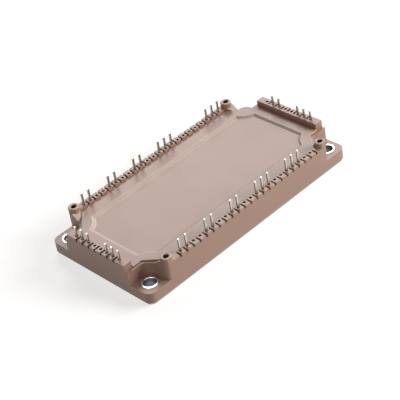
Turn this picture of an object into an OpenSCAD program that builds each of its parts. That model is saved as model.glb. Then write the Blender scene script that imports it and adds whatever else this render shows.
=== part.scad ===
// Power semiconductor module in a flat solder-pin package.
// Origin: centre of the base plate's underside. X runs along the package, Y across it, Z up.
// "Front" is the long side at -Y, "rear" at +Y, "left" the short side at -X, "right" at +X.

/* [Package] */
// Overall length of the package
package_l = 122; // [116:0.5:130]
// Overall width of the package
package_w = 62; // [60:0.5:68]
// Plan radius of the four flange corners
corner_r = 3.5; // [3:0.5:4.5]

/* [Levels] */
// Lower edge of the plastic above the base, which leaves the plate's edge showing
skirt_z = 1.2; // [0.8:0.1:1.8]
// Top of the corner flanges above the base
flange_z = 6.3; // [5.8:0.1:6.8]
// Top of the walls round the corner recesses above the base
rim_z = 12.5; // [12:0.1:14]
// How far the lid's raised border stands above them
lid_proud = 0.8; // [0.4:0.1:1]
// How far the two long terminal walls rise above them
wall_rise = 2; // [1.5:0.1:2.5]
// How far the two short terminal blocks rise above them
block_rise = 3.3; // [2.5:0.1:3.8]
// How far the four board domes rise above them
dome_rise = 4.5; // [4:0.1:5.5]
// How far the solder pins stand above the domes
pin_rise = 3.5; // [2.5:0.1:5]

/* [Base plate] */
// Thickness of the copper base plate
plate_t = 3; // [2.5:0.1:3.5]
// How far the plate's edge stands inside the package outline
plate_inset = 0.7; // [0.5:0.1:1]
// Screw hole through the plate
plate_hole_d = 5.8; // [5.6:0.1:6.2]

/* [Mounting to the heatsink] */
// Distance of the mounting screws from the package's outline
mount_edge = 6; // [5.5:0.25:6.5]
// Bore of the steel bushings
bushing_bore = 5.5; // [5.1:0.1:5.6]
// Outside diameter of the bushings
bushing_d = 7.6; // [7.2:0.1:8]
// How far a bushing stands above its flange
bushing_proud = 0.3; // [0.1:0.1:0.5]
// Gap round a bushing in the plastic
bushing_gap = 0.1; // [0.05:0.05:0.15]
// Chamfer at the ends of the bushing's bore
bushing_chamfer = 0.25; // [0.1:0.05:0.4]

/* [Board domes] */
// Distance of a dome's axis from the end of its long wall
dome_in = 2.6; // [2.55:0.05:2.8]
// Outside diameter of a dome
dome_d = 5; // [4.6:0.1:5.2]
// Pilot hole for the board's self-tapping screw
dome_hole_d = 2.5; // [2.1:0.1:2.7]
// Depth of the pilot hole
dome_hole_deep = 10; // [8:0.5:10.5]
// Chamfer round the top of a dome
dome_chamfer = 0.3; // [0.2:0.05:0.5]
// Drop from the dome's top to the top of the gusset that braces it
gusset_drop = 2.1; // [1.6:0.1:2.5]
// Length of the gusset's slope in plan
gusset_run = 3.4; // [3:0.1:3.8]
// Distance of the gusset's foot from the bend in the recess wall
gusset_back = 0.7; // [0.3:0.1:1]

/* [Walls] */
// Thickness of the long terminal walls
long_wall_t = 3.2; // [3.1:0.1:3.4]
// Thickness of the short terminal blocks
short_wall_t = 4; // [3.8:0.1:4.4]
// How far a short block ends before the corner recess
block_back = 1.6; // [1:0.1:2]
// Thickness of the walls round the corner recesses
recess_wall_t = 0.9; // [0.8:0.1:1.2]
// Width of the step on which the lid rests
lid_seat = 1; // [0.8:0.1:1.2]

/* [Corner recesses] */
// Length of a recess along the long side
recess_l = 11.1; // [10.9:0.1:11.3]
// Width of a recess along the short side
recess_w = 11.4; // [11:0.1:12]
// Length along X of the slant in the recess wall
recess_slant_x = 2.9; // [2.6:0.1:3.2]
// Length along Y of the slant in the recess wall
recess_slant_y = 3.5; // [3.2:0.1:3.8]
// Radius of the hollow corner before the slant
hollow_r = 3; // [2:0.25:3.5]

/* [Lid] */
// Thickness of the lid's border
lid_t = 2.4; // [2.2:0.1:2.6]
// Gap between the lid and the housing
lid_gap = 0.12; // [0.08:0.02:0.2]
// Depth of the pressed-in panel
panel_deep = 1; // [0.6:0.1:1.2]
// Width of the raised border along the short sides
border_x = 5.7; // [5.2:0.1:6.5]
// Width of the raised border along the long sides
border_y = 7.2; // [6.6:0.1:7.8]
// Width of the slope round the panel
panel_slope = 1.2; // [0.8:0.1:1.6]
// Radius of the panel's bitten corners, round the mounting screws
panel_bite_r = 11; // [10.6:0.1:11.4]
// Height of the stiffening ribs under the lid
lid_rib_h = 0.9; // [0.6:0.1:1]
// Thickness of the stiffening ribs
lid_rib_t = 1.2; // [1:0.1:1.6]
// Distance of a rib's end from the corner of the recess wall
lid_rib_clear = 4; // [3:0.5:6]

/* [Pins] */
// Distance of the rear row's end positions from the domes' axes
row_end = 5.39; // [5:0.01:5.6]
// Width of a pin along its row
pin_w = 1.15; // [1:0.05:1.2]
// Thickness of a pin across its row
pin_t = 1; // [0.8:0.05:1.05]
// Chamfer at a pin's tip
pin_chamfer = 0.25; // [0.1:0.05:0.3]
// Distance of the long rows from their wall's inner face
long_row_in = 0.95; // [0.8:0.05:1.1]
// Distance of the short rows from their block's inner face
short_row_in = 2; // [1.8:0.05:2.2]
// Shift of the front row's positions along X
front_shift = 0.55; // [0.4:0.05:0.7]
// Length of a pin's foot on the inner ledge
foot_reach = 1.7; // [1.2:0.1:2]

/* [Guide holes and creepage slots] */
// Guide hole at each pin position
guide_d = 1.45; // [1.3:0.05:1.5]
// Depth of a guide hole round a pin
guide_deep = 1.2; // [0.8:0.1:1.6]
// Diameter of a guide hole without a pin
empty_d = 1.35; // [1.2:0.05:1.5]
// Depth of a guide hole without a pin
empty_deep = 5; // [3:0.5:6]
// Width of a creepage slot
slot_w = 0.95; // [0.8:0.05:1.1]
// Depth of a slot where it runs out through a wall's face
slot_deep = 1.2; // [0.8:0.1:1.2]
// Depth of the pocket in the middle of a slot in the long walls
pocket_deep = 5; // [3:0.5:6]
// Wall left between that pocket and each face of the long wall
pocket_skin = 0.6; // [0.4:0.1:0.8]
// How far a slot in a short block reaches inwards from the outer face
short_slot_reach = 3; // [2.6:0.1:3.2]

/* [Inside] */
// Height of the ledge that carries the pins' feet
ledge_z = 7; // [6.5:0.1:7.5]
// Width of that ledge along the short sides
ledge_short = 2; // [1.8:0.1:2.4]
// Width of that ledge along the long sides
ledge_long = 3.3; // [2.5:0.1:4]
// Distance along X from the screws' line to where the well's corner is cut off
well_cut_x = 9; // [8.5:0.5:10]
// Distance along Y from the screws' line to where the well's corner is cut off
well_cut_y = 8.5; // [8:0.5:9.5]
// Distance of the ceramic substrates from the short sides of the well
ceramic_end = 3.5; // [3:0.1:5]
// Distance of the ceramic substrates from the long sides of the well
ceramic_side = 5.5; // [5:0.1:6.5]
// Gap between two ceramic substrates
ceramic_gap = 2.5; // [1.5:0.1:3]
// Thickness of a ceramic substrate
ceramic_t = 0.4; // [0.3:0.01:0.65]
// Thickness of the copper on both sides of a ceramic
copper_t = 0.3; // [0.2:0.05:0.4]
// Bare ceramic left round the copper
copper_inset = 0.5; // [0.4:0.1:1]
// Gap between two copper areas
copper_gap = 0.8; // [0.6:0.1:1]
// Width of the copper rail along the middle of a substrate
rail_w = 2.6; // [2:0.1:3]
// Thickness of the chips
chip_t = 0.2; // [0.15:0.01:0.3]
// Size of a transistor chip along X
igbt_l = 8; // [7:0.1:8.4]
// How many times as wide as its freewheeling diode a transistor is along Y
igbt_ratio = 2; // [1.5:0.1:2.5]
// Size of a freewheeling diode chip along X
diode_l = 6; // [5:0.1:7]
// Strip of copper beyond the diode chips on which the pins' ribbons land
land_w = 1.6; // [1.5:0.1:2]
// Side of a rectifier diode chip
rectifier_side = 7; // [6:0.1:7.2]
// Distance of a chip from the island's edge and from the next chip
chip_gap = 0.9; // [0.8:0.1:1]
// Size of the thermistor along X
thermistor_l = 3.2; // [2.8:0.1:3.6]
// Size of the thermistor along Y
thermistor_w = 1.6; // [1.2:0.1:2]
// Height of the thermistor
thermistor_h = 1.2; // [0.8:0.1:1.4]
// Width of the bond ribbons
ribbon_w = 0.75; // [0.5:0.05:1]
// Thickness of the bond ribbons
ribbon_t = 0.2; // [0.1:0.05:0.3]
// Half of the angle through which a ribbon bows
ribbon_bow = 40; // [30:1:45]
// Length of the flat weld at a ribbon's end
weld_l = 1; // [0.8:0.1:1.2]
// Distance of a weld's middle from the edge of what it is welded to
weld_in = 0.75; // [0.7:0.05:0.9]
// Level to which the gel is poured
gel_z = 9.6; // [9.2:0.1:9.8]

/* [Hidden] */
$fn = 48;
over = 1;
half_l = package_l / 2;
half_w = package_w / 2;
inner_x = half_l - short_wall_t;
inner_y = half_w - long_wall_t;
lid_z = rim_z + lid_proud;
lid_seat_z = lid_z - lid_t;
wall_z = rim_z + wall_rise;
block_z = rim_z + block_rise;
dome_z = rim_z + dome_rise;
pin_tip_z = dome_z + pin_rise;
bushing_z = flange_z + bushing_proud;

// Spacing of the mounting screws
mount_x = package_l - 2 * mount_edge;
mount_y = package_w - 2 * mount_edge;

// Half sizes of the body between the corner recesses, and where the recess wall turns
recess_x = half_l - recess_l;
recess_y = half_w - recess_w;
bend_x = recess_x + recess_slant_x;
bend_y = recess_y + recess_slant_y;
block_half = recess_y - block_back;

// Lines of the pin rows, with the domes in line with the long ones
long_row_y = inner_y + long_row_in;
short_row_x = inner_x + short_row_in;
dome_x = 2 * (recess_x - dome_in);
dome_y = 2 * long_row_y;

// Half sizes of the lid's panel at its upper edge, and of the well above the base plate
panel_x = inner_x - border_x;
panel_y = inner_y - border_y;
well_x = inner_x - lid_seat - ledge_short;
well_y = inner_y - lid_seat - ledge_long;

// Plan angle of the slanting recess wall and the corners of the wall behind it
slant = [bend_x - recess_x, bend_y - recess_y];
slant_n = [slant[1], slant[0]] / norm(slant);
slant_c = slant_n * [bend_x, recess_y] - recess_wall_t;
behind_y = recess_y - recess_wall_t;
function behind_x(y, gap) = (slant_c - gap - slant_n[1] * y) / slant_n[0];

// The hollow corner touches the first face and the slant this far from where they would meet
hollow_reach = hollow_r * tan(atan2(slant[1], slant[0]) / 2);

// The ends of the long walls are rounded about the line of their pins
end_r = half_w - long_row_y;

// Where the lid's ribs run
rib_y = behind_y - lid_rib_t;
rib_l = 2 * (behind_x(behind_y, 0) - lid_rib_clear);

// Pin positions along each side, counted from the middle of the row, on one grid
FRONT_COUNT = 22;
REAR_COUNT = 23;
SIDE_COUNT = 8;
pitch = (dome_x - 2 * row_end) / (REAR_COUNT - 1);
FRONT_PINS = [1, 2, 5, 6, 9, 10, 13, 14, 15, 18, 19, 20];
REAR_PINS = [1, 2, 5, 6, 9, 10, 13, 14, 15, 21, 22, 23];
LEFT_PINS = [1, 2, 3, 6, 7, 8];
RIGHT_PINS = [2, 3, 6, 7, 8];
function along(i, count) = (i - (count + 1) / 2) * pitch;
function front_x(i) = along(i, FRONT_COUNT) + front_shift;
function rear_x(i) = along(i, REAR_COUNT);
function side_y(i) = -along(i, SIDE_COUNT);
function missing(count, used) = [for (i = [1:count]) if (len(search(i, used)) == 0) i];

// Levels of the layers on the base plate
ceramic_z = plate_t + copper_t;
circuit_z = ceramic_z + ceramic_t;
chip_z = circuit_z + copper_t;
chip_top = chip_z + chip_t;
foot_top = ledge_z + pin_t;

// Three ceramic substrates in a row fill the well's length
PLACES = ["left", "centre", "right"];
ceramic_l = (2 * (well_x - ceramic_end) + ceramic_gap) / len(PLACES) - ceramic_gap;
ceramic_w = 2 * (well_y - ceramic_side);
ceramic_step = ceramic_l + ceramic_gap;

// Copper areas of one substrate: three columns and two rows of islands beside a middle rail
copper_l = ceramic_l - 2 * copper_inset;
copper_w = ceramic_w - 2 * copper_inset;
island_l = (copper_l - 2 * copper_gap) / 3;
island_w = (copper_w - rail_w) / 2 - copper_gap;
island_x = island_l + copper_gap;
island_y = (rail_w + island_w) / 2 + copper_gap;

// A transistor and its diode fill an island's width up to the strip for the pins' ribbons
diode_w = (island_w - 2 * chip_gap - land_w) / (1 + igbt_ratio);
igbt_w = igbt_ratio * diode_w;
chip_row_y = island_y - island_w / 2 + chip_gap + igbt_w / 2;
diode_row_y = chip_row_y + igbt_w / 2 + chip_gap + diode_w / 2;

SIGNS = [-1, 1];
function pin_names(side, used) = [for (i = [1:len(used)]) str(side, "_pin_", i)];

PLASTIC = [0.72, 0.62, 0.56];
NICKEL = [0.78, 0.78, 0.76];
STEEL = [0.70, 0.71, 0.73];
TIN = [0.82, 0.82, 0.80];
COPPER = [0.80, 0.50, 0.33];
CERAMIC = [0.93, 0.93, 0.90];
SILICON = [0.32, 0.34, 0.38];

// Helpers

// Rectangle with round corners, centred
module rounded_plan(l, w, r) {
    square([l - 2 * r, w], center = true);
    square([l, w - 2 * r], center = true);
    for (sx = SIGNS, sy = SIGNS)
        translate([sx * (l / 2 - r), sy * (w / 2 - r)])
            circle(r = r);
}

// A column from one level to another
module column(z0, z1) {
    translate([0, 0, z0])
        linear_extrude(z1 - z0)
            children();
}

// The same shape in all four corners
module corners() {
    for (sx = [0, 1], sy = [0, 1])
        mirror([sx, 0, 0])
            mirror([0, sy, 0])
                children();
}

// A block from its lowest to its highest corner
module span(from, to) {
    translate(from)
        cube(to - from);
}

// Plan of one corner recess, open past both outer faces
module recess_plan() {
    polygon([
        [half_l + over, recess_y],
        [bend_x, recess_y],
        [recess_x, bend_y],
        [recess_x, long_row_y],
        [recess_x - end_r, long_row_y],
        [recess_x - end_r, half_w + over],
        [half_l + over, half_w + over]
    ]);
}

// Plan of the body between the recesses, with the long walls' round ends and the hollow corners
module body_plan() {
    difference() {
        square([package_l, package_w], center = true);
        corners() recess_plan();
    }
    corners() {
        translate([recess_x - end_r, long_row_y])
            circle(r = end_r);
        difference() {
            polygon([
                [bend_x + hollow_reach, recess_y - recess_wall_t / 2],
                [bend_x + hollow_reach, recess_y + hollow_r],
                [bend_x, recess_y] + hollow_reach * [-slant[0], slant[1]] / norm(slant),
                [bend_x - recess_wall_t / 2, recess_y],
                [bend_x - recess_wall_t / 2, recess_y - recess_wall_t / 2]
            ]);
            translate([bend_x + hollow_reach, recess_y + hollow_r])
                circle(r = hollow_r);
        }
    }
}

// Plan of the space inside the walls: end_x and side_y are its half sizes
module inside_plan(end_x, side_y, gap = 0) {
    quarter = [
        [end_x - gap, behind_y - gap],
        [behind_x(behind_y - gap, gap), behind_y - gap],
        [behind_x(side_y - gap, gap), side_y - gap]
    ];
    n = len(quarter);
    polygon([
        for (i = [0:n - 1]) quarter[i],
        for (i = [n - 1:-1:0]) [-quarter[i][0], quarter[i][1]],
        for (i = [0:n - 1]) [-quarter[i][0], -quarter[i][1]],
        for (i = [n - 1:-1:0]) [quarter[i][0], -quarter[i][1]]
    ]);
}

// The same plan without the columns of the domes, which stand partly inside the walls
module room_plan(end_x, side_y, gap = 0) {
    difference() {
        inside_plan(end_x, side_y, gap);
        corners()
            translate([dome_x / 2, dome_y / 2])
                circle(d = dome_d + 2 * gap);
    }
}

// Plan of the well in which the substrates lie, with a wall left round each bushing
module well_plan() {
    cut_x = mount_x / 2 - well_cut_x;
    cut_y = mount_y / 2 - well_cut_y;
    polygon([
        [well_x, cut_y], [cut_x, well_y],
        [-cut_x, well_y], [-well_x, cut_y],
        [-well_x, -cut_y], [-cut_x, -well_y],
        [cut_x, -well_y], [well_x, -cut_y]
    ]);
}

// Moves a child from a frame in which +Y points outwards to a position on one side
module on_front(i) {
    translate([front_x(i), -long_row_y, 0])
        mirror([0, 1, 0])
            children();
}
module on_rear(i) {
    translate([rear_x(i), long_row_y, 0])
        children();
}
module on_left(i) {
    translate([-short_row_x, side_y(i), 0])
        rotate([0, 0, 90])
            children();
}
module on_right(i) {
    translate([short_row_x, side_y(i), 0])
        rotate([0, 0, -90])
            children();
}

// Pins

// Bent pin in a frame in which +Y points out of the package, its foot lying on the ledge
module pin_body(inner) {
    difference() {
        union() {
            span([-pin_w / 2, -pin_t / 2, ledge_z], [pin_w / 2, pin_t / 2, pin_tip_z]);
            span([-pin_w / 2, -inner - foot_reach, ledge_z], [pin_w / 2, 0, foot_top]);
        }
        for (side = SIGNS)
            translate([0, side * pin_t / 2, pin_tip_z])
                rotate([45, 0, 0])
                    cube([pin_w + over, pin_chamfer * sqrt(2), pin_chamfer * sqrt(2)], center = true);
    }
}
long_inner = long_row_y - (inner_y - lid_seat);
short_inner = short_row_x - (inner_x - lid_seat);

module long_pin() {
    color(TIN)
        pin_body(long_inner);
}
module short_pin() {
    color(TIN)
        pin_body(short_inner);
}

// Channel for one pin through its wall, with the guide hole at the top
module pin_channel(inner, top) {
    span([-pin_w / 2, -pin_t / 2, ledge_z], [pin_w / 2, pin_t / 2, top]);
    span([-pin_w / 2, -inner - over, ledge_z], [pin_w / 2, 0, foot_top]);
    translate([0, 0, top - guide_deep])
        cylinder(d = guide_d, h = guide_deep + over);
}
module empty_hole(top) {
    translate([0, 0, top - empty_deep])
        cylinder(d = empty_d, h = empty_deep + over);
}

// Creepage slots between two positions, in the same frame as a pin
module long_slot() {
    outer = half_w - long_row_y;
    inner = inner_y - long_row_y;
    span([-slot_w / 2, inner - over, wall_z - slot_deep], [slot_w / 2, outer + over, wall_z + over]);
    span([-slot_w / 2, inner + pocket_skin, wall_z - pocket_deep],
        [slot_w / 2, outer - pocket_skin, wall_z + over]);
}
module short_slot() {
    outer = half_l - short_row_x;
    span([-slot_w / 2, outer - short_slot_reach, block_z - slot_deep],
        [slot_w / 2, outer + over, block_z + over]);
}

// Housing

// Column that carries the board, cut flush with the long wall's outer face
module dome() {
    difference() {
        translate([dome_x / 2, dome_y / 2, 0]) {
            column(rim_z - over, dome_z - dome_chamfer)
                circle(d = dome_d);
            translate([0, 0, dome_z - dome_chamfer])
                cylinder(d1 = dome_d, d2 = dome_d - 2 * dome_chamfer, h = dome_chamfer);
        }
        span([0, half_w, 0], [half_l, half_w + over, dome_z + over]);
    }
}

module dome_hole() {
    translate([dome_x / 2, dome_y / 2, dome_z - dome_hole_deep])
        cylinder(d = dome_hole_d, h = dome_hole_deep + over);
    translate([dome_x / 2, dome_y / 2, dome_z - dome_chamfer])
        cylinder(d1 = dome_hole_d, d2 = dome_hole_d + 2 * (dome_chamfer + over), h = dome_chamfer + over);
}

// Gusset in line with the end of the long wall, which slopes from a dome down to the recess wall
module gusset() {
    top = dome_z - gusset_drop;
    foot_y = bend_y + gusset_back;
    translate([recess_x - dome_d, 0, 0])
        rotate([90, 0, 90])
            linear_extrude(dome_d)
                polygon([
                    [foot_y, rim_z - over],
                    [long_row_y, rim_z - over],
                    [long_row_y, top],
                    [foot_y + gusset_run, top],
                    [foot_y, rim_z]
                ]);
}

module housing_body() {
    column(skirt_z, flange_z)
        rounded_plan(package_l, package_w, corner_r);
    column(flange_z - over, rim_z)
        body_plan();
    for (side = SIGNS) {
        translate([0, side * (half_w - long_wall_t / 2), 0])
            column(rim_z - over, wall_z)
                square([dome_x, long_wall_t], center = true);
        translate([side * (half_l - short_wall_t / 2), 0, 0])
            column(rim_z - over, block_z)
                square([short_wall_t, 2 * block_half], center = true);
    }
    corners() {
        dome();
        gusset();
    }
}

module housing_cavity() {
    // Seat of the base plate
    column(0, plate_t)
        rounded_plan(package_l - 2 * plate_inset, package_w - 2 * plate_inset, corner_r - plate_inset);
    column(plate_t - over, ledge_z)
        well_plan();
    // Room of the pins' feet, then the lid's place
    column(ledge_z, lid_seat_z)
        room_plan(inner_x - lid_seat, inner_y - lid_seat);
    column(lid_seat_z, dome_z + over)
        room_plan(inner_x, inner_y);
}

module housing_frame() {
    color(PLASTIC)
        difference() {
            housing_body();
            housing_cavity();
            corners() {
                translate([mount_x / 2, mount_y / 2, 0])
                    cylinder(d = bushing_d + 2 * bushing_gap, h = flange_z + over);
                dome_hole();
            }
            for (i = FRONT_PINS) on_front(i) pin_channel(long_inner, wall_z);
            for (i = REAR_PINS) on_rear(i) pin_channel(long_inner, wall_z);
            for (i = LEFT_PINS) on_left(i) pin_channel(short_inner, block_z);
            for (i = RIGHT_PINS) on_right(i) pin_channel(short_inner, block_z);
            for (i = missing(FRONT_COUNT, FRONT_PINS)) on_front(i) empty_hole(wall_z);
            for (i = missing(REAR_COUNT, REAR_PINS)) on_rear(i) empty_hole(wall_z);
            for (i = missing(SIDE_COUNT, LEFT_PINS)) on_left(i) empty_hole(block_z);
            for (i = missing(SIDE_COUNT, RIGHT_PINS)) on_right(i) empty_hole(block_z);
            for (i = [0:FRONT_COUNT]) on_front(i + 0.5) long_slot();
            for (i = [1:REAR_COUNT - 1]) on_rear(i + 0.5) long_slot();
            for (i = [1:SIDE_COUNT - 1]) {
                on_left(i + 0.5) short_slot();
                on_right(i + 0.5) short_slot();
            }
        }
}

// Lid

// Panel pressed into the lid: sloping sides, with its corners bitten round the mounting screws
module panel_cut() {
    rise = panel_deep + over;
    spread = panel_slope * rise / panel_deep;
    low = lid_z - panel_deep;
    difference() {
        intersection() {
            translate([0, panel_y + over, 0])
                rotate([90, 0, 0])
                    linear_extrude(2 * (panel_y + over))
                        polygon([
                            [panel_slope - panel_x, low], [panel_x - panel_slope, low],
                            [panel_x - panel_slope + spread, low + rise],
                            [panel_slope - panel_x - spread, low + rise]
                        ]);
            translate([-panel_x - over, 0, 0])
                rotate([90, 0, 90])
                    linear_extrude(2 * (panel_x + over))
                        polygon([
                            [panel_slope - panel_y, low], [panel_y - panel_slope, low],
                            [panel_y - panel_slope + spread, low + rise],
                            [panel_slope - panel_y - spread, low + rise]
                        ]);
        }
        corners()
            translate([mount_x / 2, mount_y / 2, low])
                cylinder(r1 = panel_bite_r + panel_slope, r2 = panel_bite_r + panel_slope - spread,
                    h = rise, $fn = 96);
    }
}

module lid() {
    color(PLASTIC)
        difference() {
            union() {
                column(lid_seat_z, lid_z)
                    room_plan(inner_x, inner_y, lid_gap);
                // Ribs under the lid, clear of the gel
                column(lid_seat_z - lid_rib_h, lid_seat_z) {
                    for (side = SIGNS)
                        translate([0, side * rib_y])
                            square([rib_l, lid_rib_t], center = true);
                    for (p = [0:2])
                        at_place(p)
                            square([lid_rib_t, 2 * rib_y], center = true);
                }
            }
            panel_cut();
        }
}

// Metal base and bushings

module base_plate() {
    color(NICKEL)
        difference() {
            column(0, plate_t)
                rounded_plan(package_l - 2 * plate_inset, package_w - 2 * plate_inset, corner_r - plate_inset);
            corners()
                translate([mount_x / 2, mount_y / 2, -over])
                    cylinder(d = plate_hole_d, h = plate_t + 2 * over);
        }
}

module bushing() {
    bore_r = bushing_bore / 2;
    color(STEEL)
        rotate_extrude()
            polygon([
                [bore_r + bushing_chamfer, plate_t],
                [bushing_d / 2, plate_t],
                [bushing_d / 2, bushing_z],
                [bore_r + bushing_chamfer, bushing_z],
                [bore_r, bushing_z - bushing_chamfer],
                [bore_r, plate_t + bushing_chamfer]
            ]);
}

// Substrates and chips

module at_place(p) {
    translate([(p - 1) * ceramic_step, 0, 0])
        children();
}

module bottom_copper(p) {
    color(COPPER)
        at_place(p)
            column(plate_t, ceramic_z)
                square([copper_l, copper_w], center = true);
}

module ceramic(p) {
    color(CERAMIC)
        at_place(p)
            column(ceramic_z, circuit_z)
                square([ceramic_l, ceramic_w], center = true);
}

module circuit_copper(p) {
    color(COPPER)
        at_place(p)
            column(circuit_z, chip_z) {
                square([copper_l, rail_w], center = true);
                for (c = [-1:1], row = SIGNS)
                    translate([c * island_x, row * island_y])
                        square([island_l, island_w], center = true);
            }
}

module chip(x, y, l, w) {
    translate([x, y, 0])
        column(chip_z, chip_top)
            square([l, w], center = true);
}

// The inverter fills the middle substrate, and the brake chopper one column of the right one
module igbt_chips() {
    color(SILICON) {
        at_place(1)
            for (c = [-1:1], row = SIGNS)
                chip(c * island_x, row * chip_row_y, igbt_l, igbt_w);
        at_place(2)
            chip(-island_x, -chip_row_y, igbt_l, igbt_w);
    }
}

module diode_chips() {
    color(SILICON) {
        at_place(1)
            for (c = [-1:1], row = SIGNS)
                chip(c * island_x, row * diode_row_y, diode_l, diode_w);
        at_place(2)
            chip(-island_x, -diode_row_y, diode_l, diode_w);
    }
}

module rectifier_chips() {
    color(SILICON)
        at_place(0)
            for (c = [-1:1], row = SIGNS)
                chip(c * island_x, row * chip_row_y, rectifier_side, rectifier_side);
}

// It bridges the gap between two islands
module thermistor() {
    color(CERAMIC)
        at_place(2)
            translate([island_x / 2, island_y, 0])
                column(chip_z, chip_z + thermistor_h)
                    square([thermistor_l, thermistor_w], center = true);
}

// Bond ribbons

// A bowed ribbon from one place to another, with a flat weld at each end
module ribbon(from, to) {
    level = norm([to[0] - from[0], to[1] - from[1]]);
    climb = to[2] - from[2];
    lean = atan2(climb, level);
    chord = norm(to - from);
    bow_r = chord / 2 / sin(ribbon_bow);
    in_weld = [0, ribbon_t / 2];
    middle = in_weld + [level, climb] / 2;
    translate(from)
        rotate([90, 0, atan2(to[1] - from[1], to[0] - from[0])])
            linear_extrude(ribbon_w, center = true) {
                intersection() {
                    translate(middle + bow_r * cos(ribbon_bow) * [sin(lean), -cos(lean)])
                        difference() {
                            circle(r = bow_r + ribbon_t / 2);
                            circle(r = bow_r - ribbon_t / 2);
                        }
                    translate(in_weld)
                        rotate(lean)
                            square(chord);
                }
                for (end = [[0, 0], [level, climb]])
                    translate(end - [weld_l / 2, 0])
                        square([weld_l, ribbon_t]);
            }
}

// The ribbon of a pin in a long row keeps most of its place along the nearest island
function substrate_at(x) = round(max(-1, min(1, x / ceramic_step)));
function island_at(x) = round(max(-1, min(1, (x - substrate_at(x) * ceramic_step) / island_x)));
function island_mid(x) = substrate_at(x) * ceramic_step + island_at(x) * island_x;
land_most = island_l / 2 - weld_in;
land_share = 0.7;
function land_x(x) = island_mid(x) + max(-land_most, min(land_most, land_share * (x - island_mid(x))));

// A ribbon from the chip in one row of a substrate to the middle rail
module rail_ribbon(x, row, chip_w) {
    ribbon([x, row * (chip_row_y - chip_w / 4), chip_top], [x, row * (rail_w / 2 - weld_in), chip_z]);
}

module bond_ribbons() {
    foot_y = inner_y - lid_seat - foot_reach + weld_in;
    foot_x = inner_x - lid_seat - foot_reach + weld_in;
    edge_y = copper_w / 2 - weld_in;
    edge_x = ceramic_step + copper_l / 2 - weld_in;
    color(TIN) {
        for (i = FRONT_PINS)
            ribbon([front_x(i), -foot_y, foot_top], [land_x(front_x(i)), -edge_y, chip_z]);
        for (i = REAR_PINS)
            ribbon([rear_x(i), foot_y, foot_top], [land_x(rear_x(i)), edge_y, chip_z]);
        for (i = LEFT_PINS)
            ribbon([-foot_x, side_y(i), foot_top], [-edge_x, side_y(i), chip_z]);
        for (i = RIGHT_PINS)
            ribbon([foot_x, side_y(i), foot_top], [edge_x, side_y(i), chip_z]);
        at_place(0)
            for (c = [-1:1], row = SIGNS)
                rail_ribbon(c * island_x, row, rectifier_side);
        at_place(1)
            for (c = [-1:1], row = SIGNS)
                transistor_ribbons(c * island_x, row);
        at_place(2)
            transistor_ribbons(-island_x, -1);
    }
}

// Two ribbons from a transistor to the rail, and one from its diode
module transistor_ribbons(x, row) {
    for (side = SIGNS)
        rail_ribbon(x + side * igbt_l / 4, row, igbt_w);
    ribbon([x, row * diode_row_y, chip_top], [x, row * (chip_row_y + igbt_w / 4), chip_top]);
}

// Soft gel poured over the circuit: it fills the well round everything that stands in it
module silicone_gel() {
    color([0.85, 0.88, 0.88, 0.5])
        difference() {
            union() {
                column(plate_t, ledge_z)
                    well_plan();
                column(ledge_z, gel_z)
                    room_plan(inner_x - lid_seat, inner_y - lid_seat);
            }
            for (p = [0:2]) {
                bottom_copper(p);
                ceramic(p);
                circuit_copper(p);
            }
            igbt_chips();
            diode_chips();
            rectifier_chips();
            thermistor();
            bond_ribbons();
            for (i = FRONT_PINS) on_front(i) pin_body(long_inner);
            for (i = REAR_PINS) on_rear(i) pin_body(long_inner);
            for (i = LEFT_PINS) on_left(i) pin_body(short_inner);
            for (i = RIGHT_PINS) on_right(i) pin_body(short_inner);
        }
}

base_plate();
housing_frame();
lid();
for (i = [0:3])
    translate([SIGNS[i % 2] * mount_x / 2, SIGNS[floor(i / 2)] * mount_y / 2, 0]) bushing();
for (i = [1:len(FRONT_PINS)])
    on_front(FRONT_PINS[i - 1]) long_pin();
for (i = [1:len(REAR_PINS)])
    on_rear(REAR_PINS[i - 1]) long_pin();
for (i = [1:len(LEFT_PINS)])
    on_left(LEFT_PINS[i - 1]) short_pin();
for (i = [1:len(RIGHT_PINS)])
    on_right(RIGHT_PINS[i - 1]) short_pin();
for (p = [0:2]) {
    bottom_copper(p);
    ceramic(p);
    circuit_copper(p);
}
igbt_chips();
diode_chips();
rectifier_chips();
thermistor();
bond_ribbons();
silicone_gel();
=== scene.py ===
"""Looks of a flat power semiconductor module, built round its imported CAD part.

The housing and the lid are softened copies of the CAD solids, the pins and the
bushings are made by Geometry Nodes on the CAD's own places, and every other solid
keeps its shape and gets its finish here. All lengths are in metres.
"""

import logging
import math
from collections.abc import Callable, Iterable
from dataclasses import dataclass, field
from enum import Enum

import bmesh
import bpy
from mathutils import Matrix, Vector
from mathutils.bvhtree import BVHTree

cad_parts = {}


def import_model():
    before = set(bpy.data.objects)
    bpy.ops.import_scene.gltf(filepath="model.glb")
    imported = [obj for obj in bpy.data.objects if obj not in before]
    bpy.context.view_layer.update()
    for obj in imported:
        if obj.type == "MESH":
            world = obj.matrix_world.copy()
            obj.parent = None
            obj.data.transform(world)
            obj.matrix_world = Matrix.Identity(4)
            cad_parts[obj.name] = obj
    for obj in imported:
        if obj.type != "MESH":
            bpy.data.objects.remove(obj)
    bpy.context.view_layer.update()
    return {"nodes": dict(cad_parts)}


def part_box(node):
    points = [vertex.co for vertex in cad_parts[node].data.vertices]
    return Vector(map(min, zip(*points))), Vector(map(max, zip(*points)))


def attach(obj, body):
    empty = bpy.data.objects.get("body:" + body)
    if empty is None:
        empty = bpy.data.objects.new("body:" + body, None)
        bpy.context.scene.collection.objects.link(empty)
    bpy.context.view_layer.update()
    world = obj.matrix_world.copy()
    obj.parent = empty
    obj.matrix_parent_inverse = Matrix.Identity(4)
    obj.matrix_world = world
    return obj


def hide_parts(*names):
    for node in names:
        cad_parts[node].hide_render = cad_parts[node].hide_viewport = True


Colour = tuple[float, float, float]

LOG = logging.getLogger("power_module")
MM = 0.001
ROOT = "root"
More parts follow.
